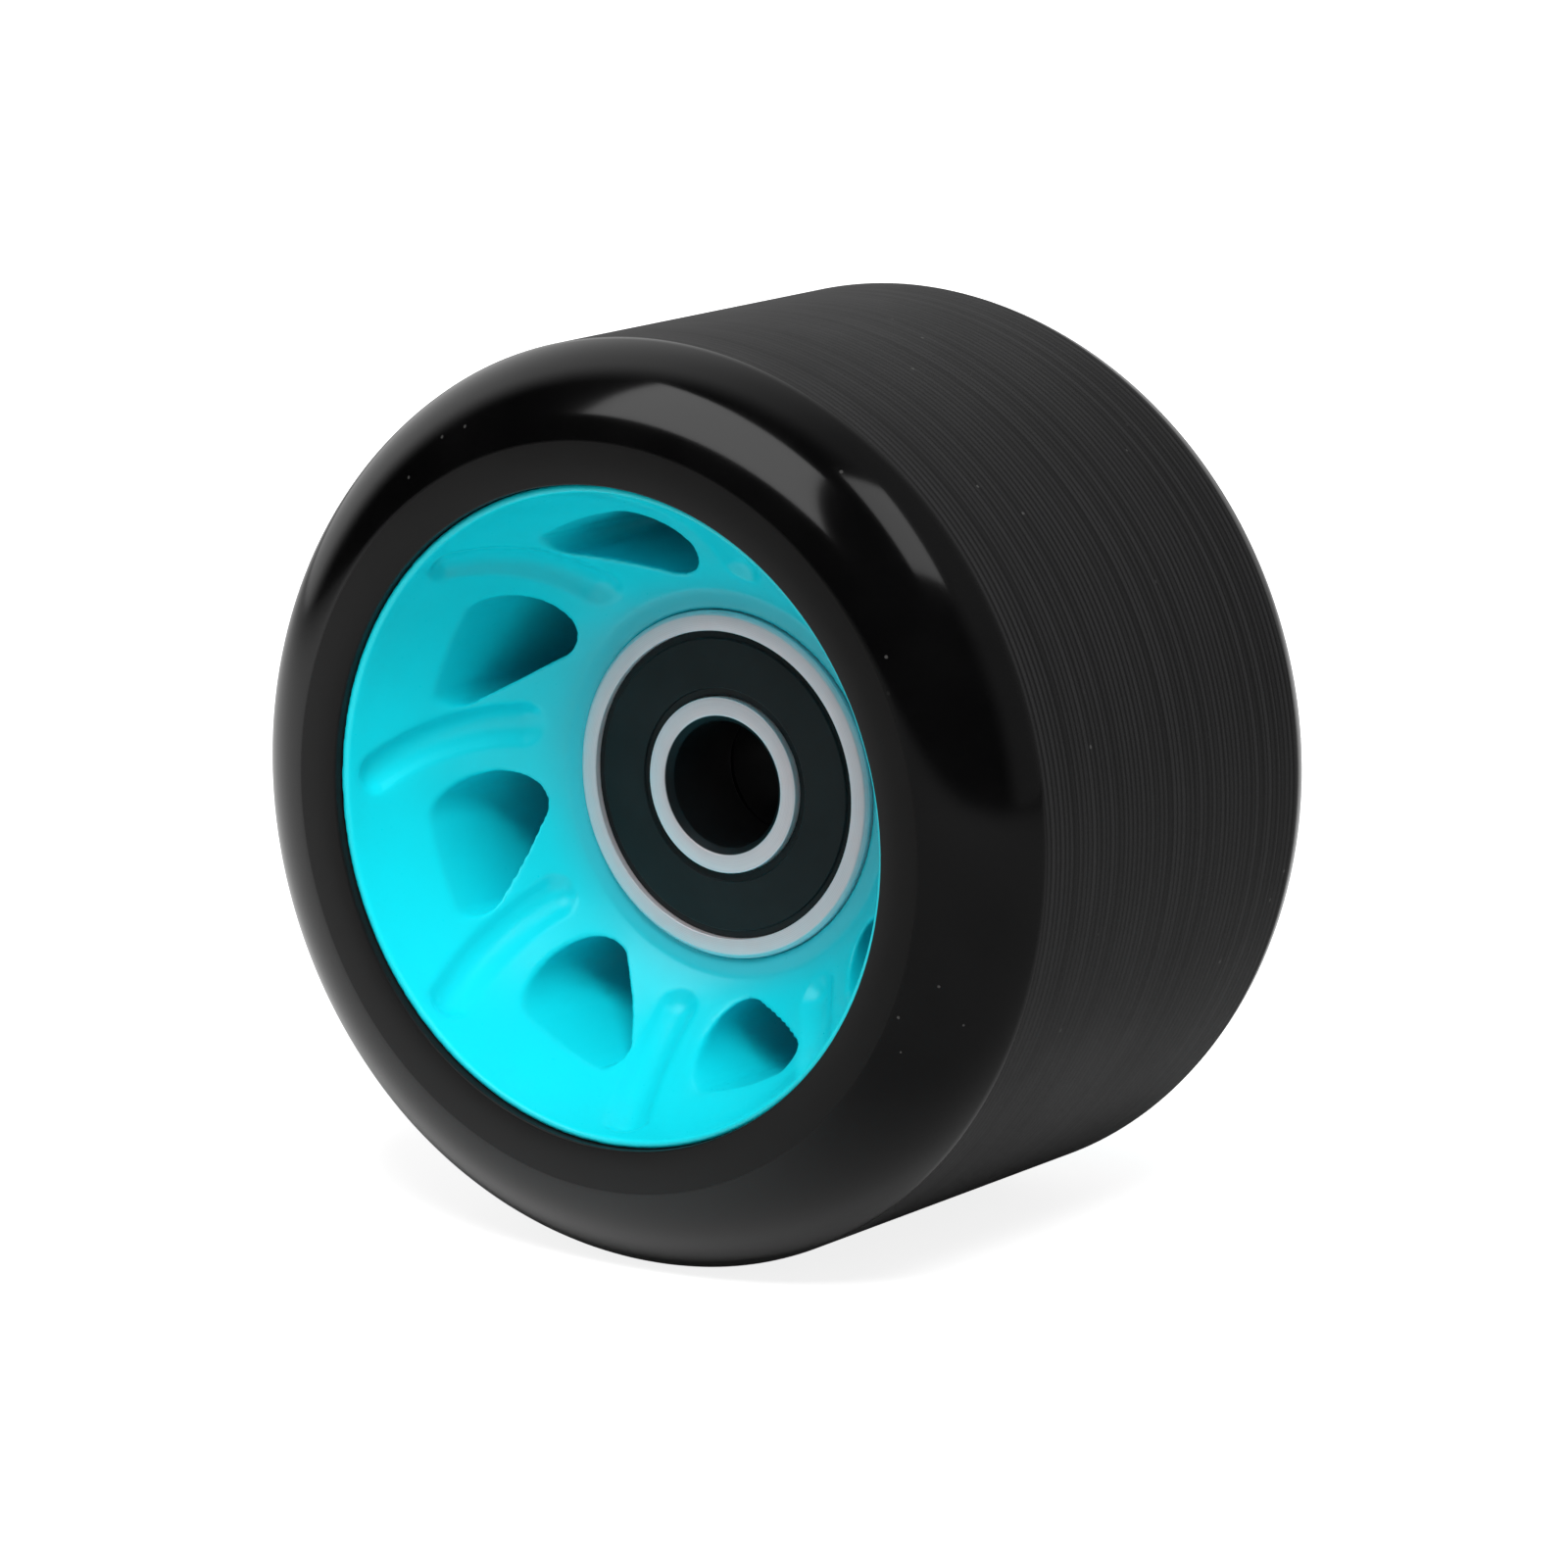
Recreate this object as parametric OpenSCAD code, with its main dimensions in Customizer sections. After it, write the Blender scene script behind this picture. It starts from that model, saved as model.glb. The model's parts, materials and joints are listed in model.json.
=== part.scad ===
// Quad roller skate wheel.
// A urethane tyre is cast round a dished hub, which carries two sealed
// ball bearings with a spacer between them.
// The axle runs along Y through the origin, the middle of the tyre,
// and the dished front of the wheel faces -Y.

/* [Tyre] */
// Diameter over the tread
tyre_d = 58; // [54:0.5:66]
// Width over the two side faces
tyre_w = 39; // [37:0.5:44]
// Width of the round lip on each side of the tread
lip_w = 5.3; // [4.6:0.1:5.8]
// Height of the lip, from the flat side face out to the tread
lip_h = 5.7; // [5:0.1:6.2]
// Radius of the lip's arc
lip_r = 7; // [6.2:0.1:9]

/* [Hub rim] */
// Diameter of the rim that the tyre is cast on
rim_d = 41.2; // [40:0.2:44]
// Depth of the rim's edge below the tyre's side face
rim_set_back = 0.5; // [0.2:0.1:1]
// Width of the flat edge of the rim
rim_edge_w = 0.5; // [0.3:0.1:0.8]
// Thickness of the rim's wall behind the dish
rim_wall = 2.2; // [1.8:0.1:2.8]
// Height of the dovetail rings that hold the tyre
key_h = 1.4; // [0.8:0.1:2]
// Width of a dovetail ring at its root
key_w = 2; // [1.5:0.1:3]
// Flare of a dovetail ring on each side
key_flare = 0.5; // [0.2:0.1:0.8]
// Distance between the two dovetail rings
key_spacing = 18; // [12:0.5:24]

/* [Hub dish] */
// Depth of the bearing seat's rim below the hub's front edge
dish_depth = 12.6; // [11:0.1:13.4]
// Width of the flat rim round the bearing seat
seat_rim_w = 1.3; // [0.8:0.1:1.8]
// Depth of the spokes behind the dish
web_t = 10.5; // [8:0.5:12]
// Thickness of the boss wall round the bearings
boss_wall = 1.9; // [1.4:0.1:2.4]
// Flare of the rim's mouth at the back
back_flare = 1; // [0.5:0.1:1.5]

/* [Hub openings] */
// Number of swept openings and spokes
spoke_count = 8; // [6:1:9]
// Extra thickness of the rim's wall outside the openings
opening_inset = 0.2; // [0.1:0.05:0.4]
// Angle that the spokes are turned by about the axle
spoke_turn = 10.5; // [0:0.5:44]
// Diameter of an opening's round end
opening_end_d = 4.7; // [4.2:0.1:5.4]
// Diameter of an opening's narrow tip
opening_tip_d = 1.6; // [1:0.1:2.2]
// Angle from the round end of an opening to its tip
opening_sweep = 18.5; // [16:0.5:20]
// Offset of each spoke from a line through the axle
spoke_offset = 4.8; // [4.4:0.1:5.2]
// Thickness of the fin behind each spoke
fin_t = 2; // [1.4:0.1:2.4]
// Depth of the fins below the boss's back end
fin_set_back = 1.2; // [0.5:0.1:3]
// Diameter of the round scoop in each spoke
scoop_d = 3.5; // [3:0.1:4]
// Depth of the scoop below the dish
scoop_depth = 0.6; // [0.4:0.05:0.9]

/* [Bearings] */
// Outer diameter of a bearing
bearing_d = 22; // [21.4:0.1:23]
// Diameter of the axle bore
axle_d = 8; // [7:0.1:8.4]
// Width of a bearing
bearing_w = 7; // [6.6:0.1:7.6]
// Distance between the two bearings
bearing_spacing = 10; // [8:0.1:10.6]
// How far a bearing stands out of its seat
bearing_proud = 0.4; // [0.2:0.05:0.6]
// Width of the hub's shoulder that stops an outer race
shoulder_w = 1.3; // [0.9:0.1:1.6]

/* [Balls and races] */
// Number of balls in a bearing
ball_count = 7; // [6:1:7]
// Diameter of a ball
ball_d = 3.969; // [3.7:0.01:4.1]
// Diameter of the circle through the ball centres
pitch_d = 15; // [14.6:0.1:15.4]
// Radial clearance between a ball and its raceways
ball_clearance = 0.02; // [0.01:0.005:0.04]
// Radius of a raceway groove, as a share of the ball's diameter
groove_ratio = 0.52; // [0.515:0.005:0.53]
// Height of a race's shoulder over the raceway
race_shoulder = 0.55; // [0.45:0.05:0.65]
// Chamfer at the outer edges of a bearing
race_chamfer = 0.25; // [0.15:0.05:0.35]
// Chamfer at the edges of the axle bore
bore_chamfer = 0.45; // [0.3:0.05:0.6]

/* [Cages] */
// Gap between a cage and the races' shoulders
cage_gap = 0.4; // [0.25:0.05:0.5]
// Clearance of a ball in its cage pocket
pocket_clearance = 0.08; // [0.05:0.01:0.12]
// Thickness of a cage's ring behind the balls
cage_back_t = 0.4; // [0.3:0.05:0.45]
// Reach of a cage's fingers past the ball centres
cage_reach = 1; // [0.7:0.05:1.3]

/* [Seals] */
// Thickness of a seal
seal_t = 0.7; // [0.6:0.05:0.75]
// Depth of a seal below the bearing's face
seal_set_back = 0.2; // [0.1:0.05:0.25]
// Width of the outer race's edge round a seal
race_edge_w = 1.25; // [1:0.05:1.4]
// Step from the inner race's shoulder down to the seal's land
seal_step = 0.5; // [0.35:0.05:0.6]
// Running gap between a seal's lip and the inner race
seal_gap = 0.06; // [0.03:0.01:0.1]
// Width of the shallow groove along each edge of a seal
seal_groove_w = 0.5; // [0.3:0.05:0.7]
// Depth of that groove
seal_groove_h = 0.2; // [0.1:0.05:0.3]

/* [Spacer] */
// Clearance of the spacer's bore round the axle, on the diameter
spacer_clearance = 0.2; // [0.1:0.05:0.4]
// Wall of the spacer
spacer_wall = 1.1; // [0.8:0.1:1.2]
// Chamfer at the spacer's outer edges
spacer_chamfer = 0.2; // [0.1:0.05:0.3]

/* [Hidden] */
$fn = 96;
// Profiles are drawn as (radius, height): height runs along the axle, and grows towards the front.
// Overlap that lets a cutter pass cleanly through a face
cut = 1;
// Depth by which joined outlines pass into each other, so that they cross and don't just touch
sink = 0.04;

tyre_r = tyre_d / 2;
side_h = tyre_w / 2;
// The lip's arc runs from the edge of the flat side face to the tread's edge
lip_chord = norm([lip_h, lip_w]);
lip_depth = sqrt(lip_r * lip_r - lip_chord * lip_chord / 4) / lip_chord;
lip_centre_r = tyre_r - lip_h / 2 - lip_depth * lip_w;
lip_centre_h = side_h - lip_w / 2 - lip_depth * lip_h;

rim_r = rim_d / 2;
rim_h = side_h - rim_set_back;
wall_r = rim_r - rim_wall;

// The seats' ends, and the faces of the bearings, from front to back
front_seat_h = rim_h - dish_depth;
front_face_h = front_seat_h + bearing_proud;
back_face_h = front_face_h - 2 * bearing_w - bearing_spacing;
back_seat_h = back_face_h + bearing_proud;
front_bearing_h = front_face_h - bearing_w / 2;
back_bearing_h = back_face_h + bearing_w / 2;
bearing_r = bearing_d / 2;
boss_r = bearing_r + boss_wall;

// The dish is part of a sphere through the rim's mouth and the seat's rim
mouth_r = rim_r - rim_edge_w;
floor_r = bearing_r + seat_rim_w;
dish_centre_h = (mouth_r * mouth_r - floor_r * floor_r + rim_h * rim_h - front_seat_h * front_seat_h)
    / (2 * dish_depth);
dish_r = norm([mouth_r, rim_h - dish_centre_h]);
// Height of the spokes' middle where they meet the rim's wall, and a height below all of them
web_foot_h = dish_centre_h - sqrt(pow(dish_r + web_t / 2, 2) - wall_r * wall_r);
web_low_h = dish_centre_h - dish_r - web_t;

// The openings touch a circle just inside the rim's wall with their round end and with their tip
spoke_step = 360 / spoke_count;
opening_r = wall_r - opening_inset;
end_r = opening_end_d / 2;
tip_r = opening_tip_d / 2;
end_at = [opening_r - end_r, 0];
tip_at = (opening_r - tip_r) * [cos(opening_sweep), sin(opening_sweep)];

// The scoop's middle line is an arc on a sphere in front of the dish, through three points on a spoke
scoop_r = scoop_d / 2;
scoop_sphere_r = dish_r - scoop_r + scoop_depth;
scoop_from = on_scoop_sphere(floor_r + scoop_r * 0.8, -20.5);
scoop_mid = on_scoop_sphere((floor_r + wall_r) / 2 + 1, -17.5);
scoop_to = on_scoop_sphere(wall_r, -11);
scoop_axis = unit(cross(scoop_mid - scoop_from, scoop_to - scoop_from));
scoop_centre = (scoop_from * scoop_axis) * scoop_axis;
scoop_bend_r = norm(scoop_from - scoop_centre);
scoop_x = (scoop_from - scoop_centre) / scoop_bend_r;
scoop_y = cross(scoop_axis, scoop_x);
scoop_end = scoop_to - scoop_centre;
scoop_sweep = atan2(scoop_end * scoop_y, scoop_end * scoop_x);

// Bearing section
ball_r = ball_d / 2;
pitch_r = pitch_d / 2;
groove_r = groove_ratio * ball_d;
outer_groove_r = pitch_r + ball_r + ball_clearance - groove_r;
inner_groove_r = pitch_r - ball_r - ball_clearance + groove_r;
outer_land_r = pitch_r + ball_r - race_shoulder;
inner_land_r = pitch_r - ball_r + race_shoulder;
seal_top_h = bearing_w / 2 - seal_set_back;
seal_foot_h = seal_top_h - seal_t;
seal_seat_r = bearing_r - race_edge_w;
seal_land_r = inner_land_r - seal_step;
seal_lip_r = seal_land_r + seal_gap;
axle_r = axle_d / 2;

ball_names = [for (side = ["front", "back"]) for (i = [1 : ball_count]) str(side, "_ball_", i)];

// A vector of length one
function unit(v) = v / norm(v);

// A point of the scoops' sphere, seen from its centre
function on_scoop_sphere(r, angle) = [
    r * cos(angle),
    r * sin(angle),
    -sqrt(scoop_sphere_r * scoop_sphere_r - r * r)
];

// Stands a wheel that lies face up on its tread, with its face towards -Y
module face_front() {
    rotate([90, 0, 0])
        children();
}

// Puts a bearing's piece in the front seat, with its outer side to the front
module in_front_seat() {
    face_front()
        translate([0, 0, front_bearing_h])
            children();
}

// Puts a bearing's piece in the back seat, with its outer side to the back
module in_back_seat() {
    face_front()
        translate([0, 0, back_bearing_h])
            rotate([180, 0, 0])
                children();
}

// A ring's section, from one radius to another and from one height to another
module band(from_r, to_r, from_h, to_h) {
    translate([from_r, from_h])
        square([to_r - from_r, to_h - from_h]);
}

// The tyre's outline, with its round lips and no hole
module tyre_outline() {
    intersection() {
        band(0, tyre_r, -side_h, side_h);
        union() {
            band(0, lip_centre_r, -side_h - cut, side_h + cut);
            band(0, tyre_r + cut, -lip_centre_h, lip_centre_h);
            for (side = [-1, 1])
                translate([lip_centre_r, side * lip_centre_h])
                    circle(lip_r);
        }
    }
}

// The hub's outline: its rim with two dovetail rings
module hub_outline() {
    band(0, rim_r, -rim_h, rim_h);
    for (side = [-1, 1])
        translate([rim_r, side * key_spacing / 2])
            polygon([
                [-key_h, -key_w / 2],
                [0, -key_w / 2],
                [key_h, -key_w / 2 - key_flare],
                [key_h, key_w / 2 + key_flare],
                [0, key_w / 2],
                [-key_h, key_w / 2]
            ]);
}

// The dish in front of the bearing seat
module dish_outline() {
    intersection() {
        band(0, rim_r, front_seat_h, rim_h + cut);
        translate([0, dish_centre_h])
            circle(dish_r);
    }
    band(0, mouth_r, rim_h, rim_h + cut);
}

// The hollow behind the web, between the boss and the rim's wall, and the space behind the boss
module hollow_outline() {
    difference() {
        band(boss_r, wall_r, -rim_h - cut, dish_centre_h);
        translate([0, dish_centre_h])
            circle(dish_r + web_t);
    }
    band(0, boss_r + cut, -rim_h - cut, back_seat_h);
    polygon([
        [boss_r, -rim_h],
        [wall_r, -rim_h + back_flare],
        [wall_r + back_flare, -rim_h],
        [wall_r + back_flare, -rim_h - cut],
        [boss_r, -rim_h - cut]
    ]);
}

// The two bearing seats and the bore between their shoulders
module seats_outline() {
    band(0, bearing_r, front_face_h - bearing_w, front_seat_h + cut);
    band(0, bearing_r, back_seat_h - cut, back_face_h + bearing_w);
    band(0, bearing_r - shoulder_w, back_seat_h, front_seat_h);
}

// A swept opening: a round end and a tip, joined by a straight edge inside and by an arc along the rim outside
module opening_outline() {
    span = tip_at - end_at;
    edge_angle = atan2(span.y, span.x) + acos((end_r - tip_r) / norm(span));
    edge_side = [cos(edge_angle), sin(edge_angle)];
    reach = opening_r / cos(opening_sweep);
    end_edge = end_at + (end_r - sink) * edge_side;
    tip_edge = tip_at + (tip_r - sink) * edge_side;
    translate(end_at)
        circle(end_r);
    translate(tip_at)
        circle(tip_r);
    polygon([end_at, end_edge, tip_edge, tip_at]);
    intersection() {
        circle(opening_r - sink);
        polygon([end_at, [reach, 0], reach * [cos(opening_sweep), sin(opening_sweep)], tip_at]);
    }
}

// The fin behind a spoke, from the boss to the rim's wall
module spoke_fin() {
    root_x = sqrt(pow(bearing_r + boss_wall / 2, 2) - spoke_offset * spoke_offset);
    foot_x = sqrt(pow(wall_r + rim_wall / 2, 2) - spoke_offset * spoke_offset);
    low_h = back_seat_h + fin_set_back;
    translate([root_x, -spoke_offset - fin_t / 2, low_h])
        cube([foot_x - root_x, fin_t, web_foot_h - low_h]);
}

// The round scoop in a spoke, which follows the dish and hooks round the opening beside it
module spoke_scoop() {
    translate([0, 0, dish_centre_h])
        multmatrix([
            [scoop_x.x, scoop_y.x, scoop_axis.x, scoop_centre.x],
            [scoop_x.y, scoop_y.y, scoop_axis.y, scoop_centre.y],
            [scoop_x.z, scoop_y.z, scoop_axis.z, scoop_centre.z],
            [0, 0, 0, 1]
        ]) {
            rotate_extrude(angle = scoop_sweep)
                translate([scoop_bend_r, 0])
                    circle(scoop_r, $fn = 48);
            for (stop = [0, scoop_sweep])
                rotate([0, 0, stop])
                    translate([scoop_bend_r, 0])
                        sphere(scoop_r + sink, $fn = 48);
        }
}

// Repeats what it holds on every spoke
module on_each_spoke() {
    for (i = [0 : spoke_count - 1])
        rotate([0, 0, spoke_turn + i * spoke_step])
            children();
}

module tyre() {
    color("#1c1c1e")
        face_front()
            rotate_extrude()
                difference() {
                    tyre_outline();
                    hub_outline();
                    band(0, rim_r, -side_h - cut, side_h + cut);
                }
}

module hub() {
    color("#00c8dc")
        face_front()
            difference() {
                union() {
                    rotate_extrude()
                        difference() {
                            hub_outline();
                            hollow_outline();
                        }
                    on_each_spoke()
                        spoke_fin();
                }
                rotate_extrude() {
                    dish_outline();
                    seats_outline();
                }
                on_each_spoke()
                    spoke_scoop();
                on_each_spoke()
                    translate([0, 0, web_low_h])
                        linear_extrude(rim_h - web_low_h)
                            opening_outline();
            }
}

module bearing_spacer() {
    inner_r = (axle_d + spacer_clearance) / 2;
    outer_r = inner_r + spacer_wall;
    low_h = back_face_h + bearing_w;
    high_h = front_face_h - bearing_w;
    color("#2a2a2c")
        face_front()
            rotate_extrude()
                polygon([
                    [inner_r, low_h],
                    [outer_r - spacer_chamfer, low_h],
                    [outer_r, low_h + spacer_chamfer],
                    [outer_r, high_h - spacer_chamfer],
                    [outer_r - spacer_chamfer, high_h],
                    [inner_r, high_h]
                ]);
}

module outer_race() {
    half_w = bearing_w / 2;
    color("#c4c4c6")
        rotate_extrude()
            difference() {
                polygon([
                    [outer_land_r, -seal_foot_h],
                    [seal_seat_r, -seal_foot_h],
                    [seal_seat_r, -half_w],
                    [bearing_r - race_chamfer, -half_w],
                    [bearing_r, -half_w + race_chamfer],
                    [bearing_r, half_w - race_chamfer],
                    [bearing_r - race_chamfer, half_w],
                    [seal_seat_r, half_w],
                    [seal_seat_r, seal_foot_h],
                    [outer_land_r, seal_foot_h]
                ]);
                translate([outer_groove_r, 0])
                    circle(groove_r);
            }
}

module inner_race() {
    half_w = bearing_w / 2;
    shoulder_h = seal_foot_h - cage_gap / 2;
    color("#c4c4c6")
        rotate_extrude()
            difference() {
                polygon([
                    [axle_r, -half_w + bore_chamfer],
                    [axle_r + bore_chamfer, -half_w],
                    [seal_land_r, -half_w],
                    [seal_land_r, -shoulder_h],
                    [inner_land_r, -shoulder_h],
                    [inner_land_r, shoulder_h],
                    [seal_land_r, shoulder_h],
                    [seal_land_r, half_w],
                    [axle_r + bore_chamfer, half_w],
                    [axle_r, half_w - bore_chamfer]
                ]);
                translate([inner_groove_r, 0])
                    circle(groove_r);
            }
}

// A crown cage: a ring behind the balls, with fingers that reach round them
module cage() {
    color("#e8e2d0")
        difference() {
            rotate_extrude()
                band(
                    inner_land_r + cage_gap,
                    outer_land_r - cage_gap,
                    -cage_reach,
                    ball_r + pocket_clearance + cage_back_t
                );
            for (i = [0 : ball_count - 1])
                rotate([0, 0, i * 360 / ball_count])
                    translate([pitch_r, 0, 0])
                        sphere(ball_r + pocket_clearance);
        }
}

module ball(i) {
    color("#d8d8da")
        rotate([0, 0, (i - 1) * 360 / ball_count])
            translate([pitch_r, 0, 0])
                sphere(ball_r);
}

// A rubber seal, drawn for the outer side of a bearing
module seal() {
    color("#161618")
        rotate_extrude()
            difference() {
                band(seal_lip_r, seal_seat_r, seal_foot_h, seal_top_h);
                band(seal_lip_r - cut, seal_lip_r + seal_groove_w, seal_top_h - seal_groove_h, seal_top_h + cut);
                band(seal_seat_r - seal_groove_w, seal_seat_r + cut, seal_top_h - seal_groove_h, seal_top_h + cut);
            }
}

// The same seal on the side of a bearing that faces the spacer
module turned_seal() {
    rotate([180, 0, 0])
        seal();
}

tyre();
hub();
bearing_spacer();
in_front_seat() outer_race();  // front_outer_race
in_front_seat() inner_race();  // front_inner_race
in_front_seat() cage();  // front_cage
in_front_seat() seal();  // front_outer_seal
in_front_seat() turned_seal();  // front_inner_seal
in_back_seat() outer_race();  // back_outer_race
in_back_seat() inner_race();  // back_inner_race
in_back_seat() cage();  // back_cage
in_back_seat() seal();  // back_outer_seal
in_back_seat() turned_seal();  // back_inner_seal
for (i = [1 : ball_count]) {
    in_front_seat() ball(i);
    in_back_seat() ball(i);
}
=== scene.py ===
"""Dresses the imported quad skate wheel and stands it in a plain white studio.

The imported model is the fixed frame: X across, Y along the axle with the dished front towards -Y, Z up, in
metres. The tyre, the hub and the parts of the bearings that show are modelled again with their turned and
moulded detail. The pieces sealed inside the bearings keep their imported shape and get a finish.
"""

import json
import logging
import math
from dataclasses import dataclass
from enum import Enum
from typing import Sequence, Union

import bmesh
import bpy
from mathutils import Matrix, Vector


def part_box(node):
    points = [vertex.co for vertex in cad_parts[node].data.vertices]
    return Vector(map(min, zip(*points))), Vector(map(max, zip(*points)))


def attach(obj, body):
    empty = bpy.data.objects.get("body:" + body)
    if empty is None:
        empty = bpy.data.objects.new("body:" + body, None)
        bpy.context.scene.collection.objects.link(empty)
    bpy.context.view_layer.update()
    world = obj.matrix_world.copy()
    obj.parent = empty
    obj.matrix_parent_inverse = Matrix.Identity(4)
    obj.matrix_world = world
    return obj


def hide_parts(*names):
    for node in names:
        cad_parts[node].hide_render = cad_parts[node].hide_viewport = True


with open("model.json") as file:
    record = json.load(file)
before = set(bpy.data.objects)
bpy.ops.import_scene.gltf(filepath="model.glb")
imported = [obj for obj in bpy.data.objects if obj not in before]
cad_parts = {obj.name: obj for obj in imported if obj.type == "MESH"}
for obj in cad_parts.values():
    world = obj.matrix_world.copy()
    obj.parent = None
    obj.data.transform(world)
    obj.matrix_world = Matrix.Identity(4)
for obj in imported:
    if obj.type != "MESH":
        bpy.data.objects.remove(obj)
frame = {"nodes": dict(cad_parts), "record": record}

LOG = logging.getLogger("skate_wheel")
MM = 0.001
FULL_TURN = 2 * math.pi
WELD = 0.0005 * MM
AXLE = Vector((0, 1, 0))

Colour = tuple[float, float, float]
Span = tuple[float, float]
Value = Union[float, bpy.types.NodeSocket]


class Side(Enum):
    """The two sides of the wheel, each with its bearing."""

    FRONT = "front"
    BACK = "back"

    @property
    def outward(self) -> int:
        """Sign along Y that leads out of the wheel on this side."""
        return -1 if self is Side.FRONT else 1


class Body(Enum):
    """The moving bodies that dressed pieces ride on."""

    AXLE_SET = "axle_set"
    WHEEL = "wheel"


class Slot(Enum):
    """The material slots of the record."""

    TYRE = "tyre"
    HUB = "hub"
    SPACER = "spacer"
    RACE = "race"
    BALL = "ball"
    CAGE = "cage"
    SEAL = "seal"


class NodeBench:
    """A node tree with short calls for the nodes that the finishes use."""

    def __init__(self, tree: bpy.types.NodeTree) -> None:
        """Keeps the tree that nodes are added to.

        Args:
            tree: a material's, a group's or the world's node tree.
        """
        self.tree = tree

    def add(self, kind: str, **settings: object) -> bpy.types.Node:
        """Adds a node.

        Args:
            kind: the node's type name.
            settings: properties to set on it.

        Returns:
            The new node.
        """
        node = self.tree.nodes.new(kind)
        for key, value in settings.items():
            setattr(node, key, value)
        return node

    def feed(self, socket: bpy.types.NodeSocket, value: object) -> None:
        """Links a socket's value into an input, or sets a constant on it.

        Args:
            socket: the input.
            value: an output socket, a number or a colour.
        """
        if isinstance(value, bpy.types.NodeSocket):
            self.tree.links.new(value, socket)
        elif isinstance(value, tuple) and socket.type == "RGBA":
            socket.default_value = (*value, 1.0)
        else:
            socket.default_value = value

    def math(self, operation: str, first: Value, second: Value = 0.0,
             clamp: bool = False) -> bpy.types.NodeSocket:
        """Adds a Math node.

        Args:
            operation: what it does.
            first: its first number.
            second: its second number.
            clamp: whether the result stays between 0 and 1.

        Returns:
            The result's socket.
        """
        node = self.add("ShaderNodeMath", operation=operation, use_clamp=clamp)
        self.feed(node.inputs[0], first)
        self.feed(node.inputs[1], second)
        return node.outputs[0]

    def ramp(self, value: Value, low: float, high: float, start: float = 0.0,
             stop: float = 1.0) -> bpy.types.NodeSocket:
        """Maps a range of values onto another, with soft ends.

        Args:
            value: the number to map.
            low: where the change starts.
            high: where it ends.
            start: the result below low.
            stop: the result above high.

        Returns:
            The result's socket.
        """
        node = self.add("ShaderNodeMapRange", interpolation_type="SMOOTHSTEP")
        for socket, number in zip(node.inputs, (value, low, high, start, stop)):
            self.feed(socket, number)
        return node.outputs[0]

    def noise(self, vector: bpy.types.NodeSocket, scale: float, detail: float = 2.0) -> bpy.types.NodeSocket:
        """Adds a cloudy pattern.

        Args:
            vector: the place to read it at.
            scale: patches per metre.
            detail: levels of finer patches.

        Returns:
            The pattern's value.
        """
        node = self.add("ShaderNodeTexNoise", noise_dimensions="3D")
        self.feed(node.inputs["Vector"], vector)
        self.feed(node.inputs["Scale"], scale)
        self.feed(node.inputs["Detail"], detail)
        return node.outputs["Fac"]

    def blend(self, mask: Value, first: object, second: object) -> bpy.types.NodeSocket:
        """Mixes two colours.

        Args:
            mask: the share of the second colour.
            first: the colour where the mask is 0.
            second: the colour where the mask is 1.

        Returns:
            The mixed colour.
        """
        node = self.add("ShaderNodeMix", data_type="RGBA")
        colour_inputs = [socket for socket in node.inputs if socket.type == "RGBA"]
        self.feed(node.inputs[0], mask)
        self.feed(colour_inputs[0], first)
        self.feed(colour_inputs[1], second)
        return next(socket for socket in node.outputs if socket.type == "RGBA")

    def place(self) -> bpy.types.NodeSocket:
        """Gives the Object coordinates."""
        return self.add("ShaderNodeTexCoord").outputs["Object"]

    def split(self, vector: bpy.types.NodeSocket) -> bpy.types.NodeOutputs:
        """Splits a vector.

        Args:
            vector: the vector.

        Returns:
            Its X, Y and Z sockets, by name.
        """
        node = self.add("ShaderNodeSeparateXYZ")
        self.feed(node.inputs[0], vector)
        return node.outputs

    def group(self, tree: bpy.types.NodeTree, **values: Value) -> bpy.types.Node:
        """Places a node group.

        Args:
            tree: the group.
            values: its inputs by name.

        Returns:
            The group's node.
        """
        node = self.add("ShaderNodeGroup", node_tree=tree)
        for name, value in values.items():
            self.feed(node.inputs[name], value)
        return node

    def bump(self, height: Value, distance: float) -> bpy.types.NodeSocket:
        """Turns a height into a normal.

        Args:
            height: the height, from 0 to 1.
            distance: what a height of 1 stands for, in metres.

        Returns:
            The bumped normal.
        """
        node = self.add("ShaderNodeBump")
        self.feed(node.inputs["Height"], height)
        self.feed(node.inputs["Distance"], distance)
        return node.outputs["Normal"]


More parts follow.
